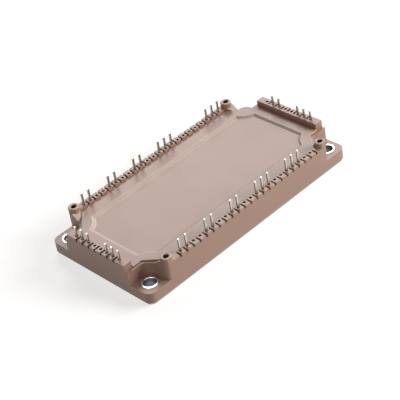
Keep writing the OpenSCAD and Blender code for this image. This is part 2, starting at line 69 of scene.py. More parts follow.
# Attributes that the finishes read: the painted highlight on bevels and upward slopes, the place
# along a turned section, and the painted shade deep in slots, holes and bores.
PAINTED_HIGHLIGHT = "painted_highlight_band"
RING = "ring"
PAINTED_SHADE = "painted_shade_mask"


class Effect(Enum):
    """The shader groups that several finishes share."""

    GRAIN = "mould_grain"
    CLOUDS = "cloudy_tone"
    STREAKS = "drawn_streaks"


class Row(Enum):
    """The four rows of solder pins, by the side on which they stand."""

    FRONT = "front"
    REAR = "rear"
    LEFT = "left"
    RIGHT = "right"


@dataclass(frozen=True)
class Levels:
    """Heights of the housing's steps above the base plate's underside."""

    skirt: float = 1.2 * MM
    flange: float = 6.3 * MM
    lid: float = 13.3 * MM
    dome: float = 17.0 * MM


class NodeSheet:
    """A node tree under construction, with short calls for nodes and links."""

    def __init__(self, tree: bpy.types.NodeTree) -> None:
        """Keeps the tree.

        Args:
            tree: The shader or geometry tree to fill.
        """
        self.tree = tree

    def add(
        self, kind: str, feeds: dict[str | int, object] | None = None, **settings: object
    ) -> bpy.types.Node:
        """Adds a node.

        Args:
            kind: Blender's name of the node type.
            feeds: What each input gets, by the input's name or number.
            **settings: Properties to set on the node.

        Returns:
            The new node.
        """
        node = self.tree.nodes.new(kind)
        for name, value in settings.items():
            setattr(node, name, value)
        for name, source in (feeds or {}).items():
            self.feed(node.inputs[name], source)
        return node

    def feed(self, target: bpy.types.NodeSocket, source: object) -> None:
        """Gives a socket a link or a plain value.

        Args:
            target: The socket to feed.
            source: Another socket, a value, or a node, which stands for its first output.
        """
        if isinstance(source, bpy.types.Node):
            source = source.outputs[0]
        if isinstance(source, bpy.types.NodeSocket):
            self.tree.links.new(source, target)
        else:
            target.default_value = source

    def math(self, operation: str, *values: object) -> bpy.types.NodeSocket:
        """Adds a Math node.

        Args:
            operation: Blender's name of the operation.
            *values: Its inputs, as sockets or numbers.

        Returns:
            The result's socket.
        """
        node = self.add("ShaderNodeMath", dict(enumerate(values)), operation=operation)
        return node.outputs[0]

    def blend(self, factor: object, first: object, second: object) -> bpy.types.NodeSocket:
        """Mixes two colours.

        Args:
            factor: Share of the second colour.
            first: First colour.
            second: Second colour.

        Returns:
            The mixed colour's socket.
        """
        feeds = {"Factor": factor, 6: first, 7: second}
        return self.add("ShaderNodeMix", feeds, data_type="RGBA").outputs[2]

    def span(self, value: object, low: float, high: float) -> bpy.types.NodeSocket:
        """Stretches a value from 0..1 to low..high.

        Args:
            value: The value to stretch.
            low: Result at 0.
            high: Result at 1.

        Returns:
            The result's socket.
        """
        node = self.add("ShaderNodeMapRange", {"Value": value, "To Min": low, "To Max": high})
        return node.outputs["Result"]

    def attribute(self, name: str) -> bpy.types.NodeSocket:
        """Reads an attribute of the mesh as a number."""
        return self.add("ShaderNodeAttribute", attribute_name=name).outputs["Fac"]

    def contrast(self, value: object, gain: float) -> bpy.types.NodeSocket:
        """Widens a value about its middle, by a gain at both ends."""
        return self.span(value, -gain, 1 + gain)

    def noise(
        self, vector: object, scale: object, detail: float = 2.0, distortion: float = 0.0
    ) -> bpy.types.NodeSocket:
        """Adds a Noise Texture.

        Args:
            vector: Its coordinates.
            scale: Its scale.
            detail: Its number of finer layers.
            distortion: How far it is bent out of shape.

        Returns:
            The socket of its grey value.
        """
        feeds = {"Vector": vector, "Scale": scale, "Detail": detail, "Distortion": distortion}
        return self.add("ShaderNodeTexNoise", feeds).outputs["Fac"]


class EffectLibrary:
    """Builds each shared shader group once."""

    line_contrast: float = 0.6
    cloud_contrast: float = 0.7
    speck_reach: float = 1.5

    def __init__(self) -> None:
        """Starts with no groups."""
        self.groups: dict[Effect, bpy.types.NodeTree] = {}

    def get(self, effect: Effect) -> bpy.types.NodeTree:
        """Returns a group, building it on its first use.

        Args:
            effect: The wanted group.

        Returns:
            The shader group.
        """
        if effect not in self.groups:
            makers: dict[Effect, Callable[[], bpy.types.NodeTree]] = {
                Effect.GRAIN: self._grain,
                Effect.CLOUDS: self._clouds,
                Effect.STREAKS: self._streaks,
            }
            self.groups[effect] = makers[effect]()
        return self.groups[effect]

    @staticmethod
    def _start(
        effect: Effect,
        inputs: Iterable[tuple[str, str, object]],
        outputs: Iterable[tuple[str, str]],
    ) -> tuple[NodeSheet, bpy.types.NodeOutputs, bpy.types.NodeInputs]:
        """Makes an empty group with its sockets.

        Args:
            effect: The group's effect.
            inputs: Name, socket type and default of each input.
            outputs: Name and socket type of each output.

        Returns:
            The sheet, the sockets that come in and the sockets that go out.
        """
        tree = bpy.data.node_groups.new(effect.value, "ShaderNodeTree")
        for name, kind, default in inputs:
            socket = tree.interface.new_socket(name, in_out="INPUT", socket_type=kind)
            if default is not None:
                socket.default_value = default
        for name, kind in outputs:
            tree.interface.new_socket(name, in_out="OUTPUT", socket_type=kind)
        sheet = NodeSheet(tree)
        return sheet, sheet.add("NodeGroupInput").outputs, sheet.add("NodeGroupOutput").inputs

    def _grain(self) -> bpy.types.NodeTree:
        """Builds the fine grain of a spark-eroded mould, with a coarser waviness under it.

        Returns:
            The group, with a height and a mask.
        """
        sheet, given, result = self._start(
            Effect.GRAIN,
            (
                ("Vector", "NodeSocketVector", None),
                ("Grain Scale", "NodeSocketFloat", 5000.0),
                ("Wave Scale", "NodeSocketFloat", 120.0),
                ("Wave Share", "NodeSocketFloat", 0.05),
            ),
            (("Height", "NodeSocketFloat"), ("Mask", "NodeSocketFloat")),
        )
        grain = sheet.noise(given["Vector"], given["Grain Scale"], detail=3.0)
        wave = sheet.noise(given["Vector"], given["Wave Scale"], detail=1.0)
        waves = sheet.math("MULTIPLY", wave, given["Wave Share"])
        sheet.feed(result["Height"], sheet.math("ADD", grain, waves))
        sheet.feed(result["Mask"], sheet.contrast(wave, self.line_contrast))
        return sheet.tree

    def _clouds(self) -> bpy.types.NodeTree:
        """Builds the slow drift of a colour, as in a filled plastic or a plated sheet.

        Returns:
            The group, with a colour and a mask.
        """
        sheet, given, result = self._start(
            Effect.CLOUDS,
            (
                ("Vector", "NodeSocketVector", None),
                ("Cloud Scale", "NodeSocketFloat", 45.0),
                ("Base", "NodeSocketColor", (0.5, 0.5, 0.5, 1.0)),
                ("Drift", "NodeSocketColor", (0.6, 0.6, 0.6, 1.0)),
                ("Speck Scale", "NodeSocketFloat", 2600.0),
                ("Speck Share", "NodeSocketFloat", 0.15),
            ),
            (("Color", "NodeSocketColor"), ("Mask", "NodeSocketFloat")),
        )
        cloud = sheet.noise(given["Vector"], given["Cloud Scale"], detail=4.0, distortion=0.6)
        speck = sheet.noise(given["Vector"], given["Speck Scale"])
        specks = sheet.span(speck, -self.speck_reach, self.speck_reach)
        spots = sheet.math("MULTIPLY", specks, given["Speck Share"])
        mask = sheet.math("ADD", sheet.contrast(cloud, self.cloud_contrast), spots)
        share = sheet.add("ShaderNodeClamp", {"Value": mask}).outputs["Result"]
        sheet.feed(result["Color"], sheet.blend(share, given["Base"], given["Drift"]))
        sheet.feed(result["Mask"], share)
        return sheet.tree

    def _streaks(self) -> bpy.types.NodeTree:
        """Builds the fine parallel lines of drawn, rolled or stamped metal.

        Returns:
            The group, with a height and a mask.
        """
        sheet, given, result = self._start(
            Effect.STREAKS,
            (
                ("Vector", "NodeSocketVector", None),
                ("Squeeze", "NodeSocketVector", (1.0, 1.0, 0.03)),
                ("Streak Scale", "NodeSocketFloat", 4000.0),
            ),
            (("Height", "NodeSocketFloat"), ("Mask", "NodeSocketFloat")),
        )
        feeds = {0: given["Vector"], 1: given["Squeeze"]}
        squeezed = sheet.add("ShaderNodeVectorMath", feeds, operation="MULTIPLY")
        streak = sheet.noise(squeezed, given["Streak Scale"])
        sheet.feed(result["Height"], streak)
        sheet.feed(result["Mask"], sheet.contrast(streak, self.line_contrast))
        return sheet.tree


@dataclass(frozen=True)
class Finish:
    """What all finishes share: a name, a slot name and a slowly drifting colour."""

    name: str
    slot: str
    base: Colour
    drift: Colour
    cloud_scale: float = field(default=30.0, kw_only=True)
    speck_share: float = field(default=0.3, kw_only=True)

    def start(self) -> tuple[bpy.types.Material, NodeSheet, bpy.types.NodeInputs, object]:
        """Makes an empty material with its shader and coordinates.

        Returns:
            The material, its sheet, its shader's inputs and the socket of Object coordinates.
        """
        material = bpy.data.materials.new(self.name)
        material.use_nodes = True
        material.node_tree.nodes.clear()
        sheet = NodeSheet(material.node_tree)
        shader = sheet.add("ShaderNodeBsdfPrincipled")
        sheet.add("ShaderNodeOutputMaterial", {"Surface": shader})
        place = sheet.add("ShaderNodeTexCoord")
        return material, sheet, shader.inputs, place.outputs["Object"]

    def tone(
        self, sheet: NodeSheet, library: EffectLibrary, place: bpy.types.NodeSocket
    ) -> bpy.types.NodeOutputs:
        """Adds the cloudy tone between the base colour and its drift.

        Args:
            sheet: The material's sheet.
            library: The shared groups.
            place: The coordinates.

        Returns:
            The group's outputs.
        """
        feeds = {
            "Vector": place,
            "Cloud Scale": self.cloud_scale,
            "Base": (*self.base, 1.0),
            "Drift": (*self.drift, 1.0),
            "Speck Share": self.speck_share,
        }
        return sheet.add("ShaderNodeGroup", feeds, node_tree=library.get(Effect.CLOUDS)).outputs

    def build(self, library: EffectLibrary) -> bpy.types.Material:
        """Builds the material; each kind of finish has its own way.

        Args:
            library: The shared groups.

        Returns:
            The material.
        """
        raise NotImplementedError


@dataclass(frozen=True)
class MouldedPlastic(Finish):
    """Glass-filled polyester: dull, slightly grainy, smoother along its edges, with a painted
    highlight on bevels and upward slopes and painted shade deep in slots and holes.
    """

    # edge: colour of the painted highlight on bevels and upward slopes, lighter than the base.
    edge: Colour = (0.58, 0.46, 0.40)
    edge_share: tuple[float, float] = (0.6, 0.95)
    edge_polish: float = 0.1
    # deep: colour of the painted shade in slots and holes, nearly black.
    deep: Colour = (0.022, 0.008, 0.005)
    deep_roughness: float = 0.95
    roughness: float = 0.38
    roughness_drift: float = 0.015
    grain_depth: float = 0.006 * MM
    grain_strength: float = 0.35

    def build(self, library: EffectLibrary) -> bpy.types.Material:
        """Builds the material.

        Args:
            library: The shared groups.

        Returns:
            The material.
        """
        material, sheet, shader, place = self.start()
        clouds = self.tone(sheet, library, place)
        # Painted highlight: bevels and upward slopes are lightened towards the edge colour, more
        # where the cloud mask is high.
        band = sheet.attribute(PAINTED_HIGHLIGHT)
        highlighted = sheet.math("MULTIPLY", band, sheet.span(clouds["Mask"], *self.edge_share))
        lit = sheet.blend(highlighted, clouds["Color"], (*self.edge, 1.0))
        # Painted shade: faces deep in slots and holes are darkened towards the deep colour.
        painted_shade_mask = sheet.attribute(PAINTED_SHADE)
        sheet.feed(shader["Base Color"], sheet.blend(painted_shade_mask, lit, (*self.deep, 1.0)))
        group = library.get(Effect.GRAIN)
        grain = sheet.add("ShaderNodeGroup", {"Vector": place}, node_tree=group)
        low, high = self.roughness - self.roughness_drift, self.roughness + self.roughness_drift
        polish = sheet.math("MULTIPLY", highlighted, self.edge_polish)
        plain = sheet.math("SUBTRACT", sheet.span(grain.outputs["Mask"], low, high), polish)
        dull = sheet.math("MULTIPLY", painted_shade_mask, self.deep_roughness - self.roughness)
        sheet.feed(shader["Roughness"], sheet.math("ADD", plain, dull))
        feeds = {
            "Height": grain.outputs["Height"],
            "Strength": self.grain_strength,
            "Distance": self.grain_depth,
        }
        sheet.feed(shader["Normal"], sheet.add("ShaderNodeBump", feeds))
        return material


@dataclass(frozen=True)
class Metal(Finish):
    """Bare or plated metal with fine lines left by drawing, rolling or stamping, and optional
    painted shade in bores and round holes.
    """

    roughness: float = 0.3
    squeeze: tuple[float, float, float] = (1.0, 1.0, 0.03)
    roughness_drift: tuple[float, float] = (-0.07, 0.09)
    line_depth: float = 0.004 * MM
    line_strength: float = 0.3
    turned: bool = False
    # deep: colour of the painted shade in bores and round holes.
    deep: Colour = (0.25, 0.285, 0.325)
    holes: tuple[float, float, float] | None = None
    cloud_scale: float = field(default=160.0, kw_only=True)
    speck_share: float = field(default=0.1, kw_only=True)

    def painted_hole_shade(self, sheet: NodeSheet, place: bpy.types.NodeSocket) -> bpy.types.NodeSocket:
        """Finds the walls of four holes at the corners of a rectangle round the origin, where
        painted shade goes.

        Args:
            sheet: The material's sheet.
            place: The Object coordinates.

        Returns:
            A socket that is 1 within the holes' reach.
        """
        parts = sheet.add("ShaderNodeSeparateXYZ", {0: place})
        *corner, reach = self.holes
        squares = []
        for axis, far in zip("XY", corner):
            away = sheet.math("SUBTRACT", sheet.math("ABSOLUTE", parts.outputs[axis]), far)
            squares.append(sheet.math("MULTIPLY", away, away))
        return sheet.math("LESS_THAN", sheet.math("SQRT", sheet.math("ADD", *squares)), reach)

    def build(self, library: EffectLibrary) -> bpy.types.Material:
        """Builds the material.

        Args:
            library: The shared groups.

        Returns:
            The material.
        """
        material, sheet, shader, place = self.start()
        clouds = self.tone(sheet, library, place)
        shader["Metallic"].default_value = 1.0
        tone, deep = clouds["Color"], (*self.deep, 1.0)
        # Painted shade: a turned part's bore, or the plate round its holes, is darkened towards the
        # deep colour.
        if self.turned:
            tone = sheet.blend(sheet.attribute(PAINTED_SHADE), tone, deep)
            place = sheet.add("ShaderNodeCombineXYZ", {"X": sheet.attribute(RING)})
        elif self.holes:
            tone = sheet.blend(self.painted_hole_shade(sheet, place), tone, deep)
        sheet.feed(shader["Base Color"], tone)
        feeds = {"Squeeze": self.squeeze, "Vector": place}
        streaks = sheet.add("ShaderNodeGroup", feeds, node_tree=library.get(Effect.STREAKS))
        low, high = (self.roughness + drift for drift in self.roughness_drift)
        sheet.feed(shader["Roughness"], sheet.span(streaks.outputs["Mask"], low, high))
        feeds = {
            "Height": streaks.outputs["Height"],
            "Strength": self.line_strength,
            "Distance": self.line_depth,
        }
        sheet.feed(shader["Normal"], sheet.add("ShaderNodeBump", feeds))
        return material


@dataclass(frozen=True)
class Mineral(Finish):
    """Ceramic, silicon or gel: a non-metal with an even face."""

    roughness: float = 0.4
    alpha: float = 1.0
    roughness_drift: float = 0.05
    cloud_scale: float = field(default=90.0, kw_only=True)

    def build(self, library: EffectLibrary) -> bpy.types.Material:
        """Builds the material.

        Args:
            library: The shared groups.

        Returns:
            The material.
        """
        material, sheet, shader, place = self.start()
        clouds = self.tone(sheet, library, place)
        sheet.feed(shader["Base Color"], clouds["Color"])
        low, high = self.roughness - self.roughness_drift, self.roughness + self.roughness_drift
        sheet.feed(shader["Roughness"], sheet.span(clouds["Mask"], low, high))
        shader["Alpha"].default_value = self.alpha
        return material


class Shop:
    """Builds each finish once and puts it on nodes and pieces."""

    def __init__(self) -> None:
        """Starts with the shared groups and no materials."""
        self.library = EffectLibrary()
        self.made: dict[str, bpy.types.Material] = {}

    def material(self, finish: Finish) -> bpy.types.Material:
        """Returns a finish's material, building it on its first use.

        Args:
            finish: The wanted finish.

        Returns:
            The material.
        """
        if finish.name not in self.made:
            self.made[finish.name] = finish.build(self.library)
        return self.made[finish.name]

    def dress(self, target: bpy.types.Object, finish: Finish) -> None:
        """Gives all of an object one finish.

        Args:
            target: The CAD node or the piece.
            finish: Its finish.
        """
        material = self.material(finish)
        if not target.material_slots:
            target.data.materials.append(material)
        for socket in target.material_slots:
            socket.material = material


PLASTIC = MouldedPlastic(
    "pale_moulded_plastic", "plastic", (0.338, 0.206, 0.156), (0.350, 0.217, 0.166)
)
TINNED = Metal("tinned_pin_metal", "tinned_copper", (0.50, 0.485, 0.455), (0.60, 0.585, 0.55), 0.24)
ZINC = Metal(
    "turned_zinc_steel", "steel", (0.82, 0.83, 0.84), (0.90, 0.91, 0.92), 0.24, turned=True
)
# The plate gets painted shade within 3.6 mm of its four hole centres.
NICKEL = Metal(
    "rolled_nickel_plate",
    "nickel_plated_copper",
    (0.46, 0.455, 0.435),
    (0.53, 0.525, 0.50),
    0.36,
    (0.03, 1.0, 1.0),
    holes=(55 * MM, 25 * MM, 3.6 * MM),
)
COPPER = Metal(
    "bare_substrate_copper", "copper", (0.80, 0.44, 0.29), (0.86, 0.53, 0.38), 0.42, (1.0, 1.0, 1.0)
)
RIBBON = Metal(
    "bright_ribbon_metal", "ribbon", (0.84, 0.84, 0.84), (0.9, 0.9, 0.9), 0.3, (0.1, 1.0, 1.0)
)
ALUMINA = Mineral("white_alumina", "ceramic", (0.86, 0.86, 0.83), (0.92, 0.92, 0.9), 0.5)
SILICON = Mineral("chip_silicon", "silicon", (0.08, 0.09, 0.11), (0.13, 0.14, 0.17), 0.22)
GEL = Mineral("soft_silicone", "gel", (0.8, 0.83, 0.83), (0.86, 0.88, 0.88), 0.12, 0.35)


@dataclass
class Softener:
    """Copies a CAD node's mesh, welds it and rounds its edges by a rule."""

    corner_angle: float = math.radians(28)
    flat_angle: float = math.radians(0.6)
    segments: int = 2
    weld: float = 0.002 * MM
    # slope: the range of upward normal heights whose faces get the painted highlight.
    slope: tuple[float, float] = (0.3, 0.98)

    def soften(
        self, node: bpy.types.Object, name: str, rule: Callable[[bmesh.types.BMEdge], float]
    ) -> bpy.types.Object:
        """Makes the rounded copy.

        Args:
            node: The CAD node.
            name: The piece's name.
            rule: Gives each sharp edge's radius in metres.

        Returns:
            The piece, at the origin.
        """
        sheet = bmesh.new()
        sheet.from_mesh(node.data)
        bmesh.ops.remove_doubles(sheet, verts=sheet.verts, dist=self.weld)
        bmesh.ops.dissolve_limit(
            sheet,
            angle_limit=self.flat_angle,
            verts=sheet.verts,
            edges=sheet.edges,
            use_dissolve_boundaries=False,
        )
        radii: dict[int, float] = {}
        for edge in sheet.edges:
            if len(edge.link_faces) == 2 and edge.calc_face_angle(0.0) > self.corner_angle:
                radii[edge.index] = rule(edge)
        largest = max(radii.values())
        weights = sheet.edges.layers.float.new("bevel_weight_edge")
        sheet.edges.ensure_lookup_table()
        for index, radius in radii.items():
            sheet.edges[index][weights] = radius / largest
        mesh = bpy.data.meshes.new(name)
        sheet.to_mesh(mesh)
        sheet.free()
        rough = bpy.data.objects.new(name + "_work", mesh)
        bpy.context.scene.collection.objects.link(rough)
        for index in range(2):
            mesh.materials.append(bpy.data.materials.new(f"{name}_mark_{index}"))
        bevel = rough.modifiers.new("edges", "BEVEL")
        bevel.limit_method = "WEIGHT"
        bevel.width = largest
        bevel.segments = self.segments
        bevel.use_clamp_overlap = True
        bevel.material = 1
        finished = Workbench.settle(rough, name)
        self._mark(finished.data)
        return finished

    def _mark(self, mesh: bpy.types.Mesh) -> None:
        """Marks the bevels, by their own material index, and the upward slopes for the painted
        highlight.

        Args:
            mesh: The bevelled mesh.
        """
        band = mesh.attributes.new(PAINTED_HIGHLIGHT, "FLOAT", "FACE")
        steep, shallow = self.slope
        for polygon in mesh.polygons:
            sloped = steep < polygon.normal.z < shallow
            band.data[polygon.index].value = float(sloped or polygon.material_index == 1)
            polygon.material_index = 0
        mesh.materials.clear()


class Workbench:
    """Turns objects with modifiers into plain meshes."""

    # Of 1 to 100, where 50 gives a small face as much say as a large one.
    area_weight: int = 100

    @staticmethod
    def settle(rough: bpy.types.Object, name: str) -> bpy.types.Object:
        """Evaluates an object's modifiers into a new plain piece and drops the old one.

        Args:
            rough: The object with live modifiers.
            name: The new piece's name.

        Returns:
            The plain piece, at the origin.
        """
        graph = bpy.context.evaluated_depsgraph_get()
        mesh = bpy.data.meshes.new_from_object(rough.evaluated_get(graph), depsgraph=graph)
        bpy.data.objects.remove(rough)
        piece = bpy.data.objects.new(name, mesh)
        mesh.name = name
        bpy.context.scene.collection.objects.link(piece)
        return piece

    @classmethod
    def repeat(
        cls, mesh: bpy.types.Mesh, name: str, tree: bpy.types.NodeTree, values: dict[str, object]
    ) -> bpy.types.Object:
        """Runs a Geometry Nodes tree on a mesh and keeps the plain result.

        Args:
            mesh: What the tree starts from.
            name: The new piece's name.
            tree: The tree.
            values: Value of each of its named inputs.

        Returns:
            The plain piece, at the origin.
        """
        rough = bpy.data.objects.new(name + "_work", mesh)
        bpy.context.scene.collection.objects.link(rough)
        modifier = rough.modifiers.new("repeat", "NODES")
        modifier.node_group = tree
        for item in tree.interface.items_tree:
            if item.item_type == "SOCKET" and item.in_out == "INPUT" and item.name in values:
                modifier[item.identifier] = values[item.name]
        return cls.settle(rough, name)

    @classmethod
    def even_normals(cls, piece: bpy.types.Object, angle: float) -> bpy.types.Object:
        """Shades a bevelled piece so that its large flat faces stay flat.

        Args:
            piece: The piece.
            angle: The creasing angle in radians.

        Returns:
            The piece with its normals weighted by the faces' areas.
        """
        name = piece.name
        piece.name = name + "_work"
        cls.smooth_by_angle(piece, angle)
        normals = piece.modifiers.new("normals", "WEIGHTED_NORMAL")
        normals.keep_sharp = True
        normals.weight = cls.area_weight
        return cls.settle(piece, name)

    @staticmethod
    def smooth_by_angle(piece: bpy.types.Object, angle: float) -> None:
        """Shades a piece smooth, with creases where its faces meet at more than an angle.

        Args:
            piece: The piece.
            angle: The creasing angle in radians.
        """
        piece.data.shade_smooth()
        piece.data.set_sharp_from_angle(angle=angle)


@dataclass
class PaintedHollowShade:
    """Paints shade deep in slots and holes: it marks how enclosed each small face is, and the
    finishes darken the marked faces.
    """

    rays: int = 32
    reach: float = 2.6 * MM
    lift: float = 0.01 * MM
    least_rise: float = 0.1
    start: float = 0.45
    full: float = 0.7
    deep_from: float = 0.5
    largest_area: float = 5.0 * MM * MM

    def directions(self) -> list[Vector]:
        """Spreads the rays evenly over the sphere.

        Returns:
            Unit vectors on a spiral.
        """
        found = []
        for index in range(self.rays):
            height = 1 - (2 * index + 1) / self.rays
            turn = math.pi * (3 - math.sqrt(5)) * index
            flat = math.sqrt(1 - height * height)
            found.append(Vector((flat * math.cos(turn), flat * math.sin(turn), height)))
        return found

    def mark(self, mesh: bpy.types.Mesh) -> int:
        """Writes each face's painted-shade mark, from the share of its rays that soon meet the
        mesh.

        Args:
            mesh: The mesh to mark.

        Returns:
            How many faces lie deep.
        """
        tree = BVHTree.FromPolygons(
            [vert.co for vert in mesh.vertices],
            [list(polygon.vertices) for polygon in mesh.polygons],
        )
        painted_shade_mask = mesh.attributes.new(PAINTED_SHADE, "FLOAT", "FACE")
        spread, deep = self.directions(), 0
        for polygon in mesh.polygons:
            if polygon.area > self.largest_area:
                continue
            origin = polygon.center + polygon.normal * self.lift
            open_rays = [ray for ray in spread if ray.dot(polygon.normal) > self.least_rise]
            hits = sum(tree.ray_cast(origin, ray, self.reach)[0] is not None for ray in open_rays)
            share = (hits / len(open_rays) - self.start) / (self.full - self.start)
            painted_shade_mask.data[polygon.index].value = min(max(share, 0.0), 1.0)
            deep += share > self.deep_from
        return deep


class RepeatSheet(NodeSheet):
    """A Geometry Nodes tree that sets copies at points and ends in plain, dressed geometry."""

    def __init__(self, name: str, inputs: Iterable[tuple[str, str]]) -> None:
        """Makes the tree with its sockets.

        Args:
            name: The tree's name.
            inputs: Name and socket type of each input besides geometry and material.
        """
        super().__init__(bpy.data.node_groups.new(name, "GeometryNodeTree"))
        geometry, material = ("Geometry", "NodeSocketGeometry"), ("Material", "NodeSocketMaterial")
        for label, kind in (geometry, *inputs, material):
            self.tree.interface.new_socket(label, in_out="INPUT", socket_type=kind)
        self.tree.interface.new_socket(geometry[0], in_out="OUTPUT", socket_type=geometry[1])
        self.given = self.add("NodeGroupInput").outputs

    def close(self, copies: bpy.types.Node) -> bpy.types.NodeTree:
        """Makes the copies real, dresses them and ends the tree.

        Args:
            copies: The node that sets the copies.

        Returns:
            The finished tree.
        """
        real = self.add("GeometryNodeRealizeInstances", {"Geometry": copies})
        feeds = {"Geometry": real, "Material": self.given["Material"]}
        self.add("NodeGroupOutput", {"Geometry": self.add("GeometryNodeSetMaterial", feeds)})
        return self.tree


@dataclass
class Casing:
    """The housing frame and the lid: both are softened copies of their solids."""

    levels: Levels = field(default_factory=Levels)
    flange_radius: float = 0.4 * MM
    skirt_radius: float = 0.22 * MM
    recess_radius: float = 0.4 * MM
    wall_radius: float = 0.25 * MM
    fine_radius: float = 0.1 * MM
    panel_radius: float = 0.45 * MM
    rim_radius: float = 0.5 * MM
    near: float = 0.05 * MM
    outline: tuple[float, float] = (60.9 * MM, 30.9 * MM)
    recess_from: tuple[float, float] = (47.5 * MM, 19.0 * MM)
    panel_within: tuple[float, float] = (52 * MM, 21.5 * MM)
    lid_depth: float = 1.1 * MM
    short_edge: float = 1.0 * MM
    upright_limit: float = 0.1
    outward_limit: float = 0.5
    crease: float = math.radians(32)

    def housing_rule(self, edge: bmesh.types.BMEdge) -> float:
        """Gives the radius of one housing edge, by where it lies.

        Args:
            edge: The sharp edge.

        Returns:
            The radius in metres.
        """
        a, b = (vert.co for vert in edge.verts)
        near, flange = self.near, self.levels.flange
        level = abs(a.z - b.z) < near
        outside = any(max(abs(a[axis]), abs(b[axis])) > self.outline[axis] for axis in (0, 1))
        if level and abs(a.z - flange) < near and outside:
            return self.flange_radius
        if level and abs(a.z - self.levels.skirt) < near:
            return self.skirt_radius
        if a.z < flange - near and b.z < flange - near:
            return 0.0
        middle = (a + b) / 2
        quadrant = Vector((math.copysign(1.0, middle.x), math.copysign(1.0, middle.y), 0.0))
        normals = [face.normal for face in edge.link_faces]
        walls = [normal for normal in normals if abs(normal.z) < self.upright_limit]
        capped = len(walls) == 1 and walls[0].dot(quadrant) > self.outward_limit
        recess = all(abs(middle[axis]) > self.recess_from[axis] for axis in (0, 1))
        if capped and recess and a.z > flange + near and b.z < self.levels.dome - near:
            return self.recess_radius
        if capped and outside and edge.calc_length() > self.short_edge:
            return self.wall_radius
        return self.fine_radius

    def lid_rule(self, edge: bmesh.types.BMEdge) -> float:
        """Gives the radius of one lid edge: soft round the panel and rim, none underneath.

        Args:
            edge: The sharp edge.

        Returns:
            The radius in metres.
        """
        a, b = (vert.co for vert in edge.verts)
        if max(a.z, b.z) < self.levels.lid - self.lid_depth:
            return 0.0
        if all(max(abs(a[axis]), abs(b[axis])) < self.panel_within[axis] for axis in (0, 1)):
            return self.panel_radius
        topmost = min(a.z, b.z) > self.levels.lid - self.near
        return self.rim_radius if topmost else self.fine_radius

    def build(self, nodes: dict[str, bpy.types.Object], shop: Shop) -> list[bpy.types.Object]:
        """Makes and dresses both pieces.

        Args:
            nodes: The CAD nodes by name.
            shop: The finishes.

        Returns:
            The pieces.
        """
        pieces = []
        for node, name, rule in (
            ("housing_frame", "housing", self.housing_rule),
            ("lid", "cover", self.lid_rule),
        ):
            piece = Softener().soften(nodes[node], name, rule)
            piece = Workbench.even_normals(piece, self.crease)
            LOG.info("%s: %d faces lie deep", name, PaintedHollowShade().mark(piece.data))
            shop.dress(piece, PLASTIC)
            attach(piece, ROOT)
            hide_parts(node)
            pieces.append(piece)
        return pieces


@dataclass
class Insides:
    """What lies under the lid: the solids keep their shape and get their finish."""

    places: tuple[str, ...] = ("left", "centre", "right")

    def build(self, nodes: dict[str, bpy.types.Object], shop: Shop) -> int:
        """Dresses the hidden solids.

        Args:
            nodes: The CAD nodes by name.
            shop: The finishes.

        Returns:
            How many solids were dressed.
        """
        finishes: dict[str, Finish] = {
            "igbt_chips": SILICON,
            "diode_chips": SILICON,
            "rectifier_chips": SILICON,
            "thermistor": ALUMINA,
            "bond_ribbons": RIBBON,
            "silicone_gel": GEL,
            "base_plate": NICKEL,
        }
        for place in self.places:
            finishes[f"{place}_bottom_copper"] = COPPER
            finishes[f"{place}_ceramic"] = ALUMINA
            finishes[f"{place}_circuit_copper"] = COPPER
        for name, finish in finishes.items():
            shop.dress(nodes[name], finish)
        return len(finishes)


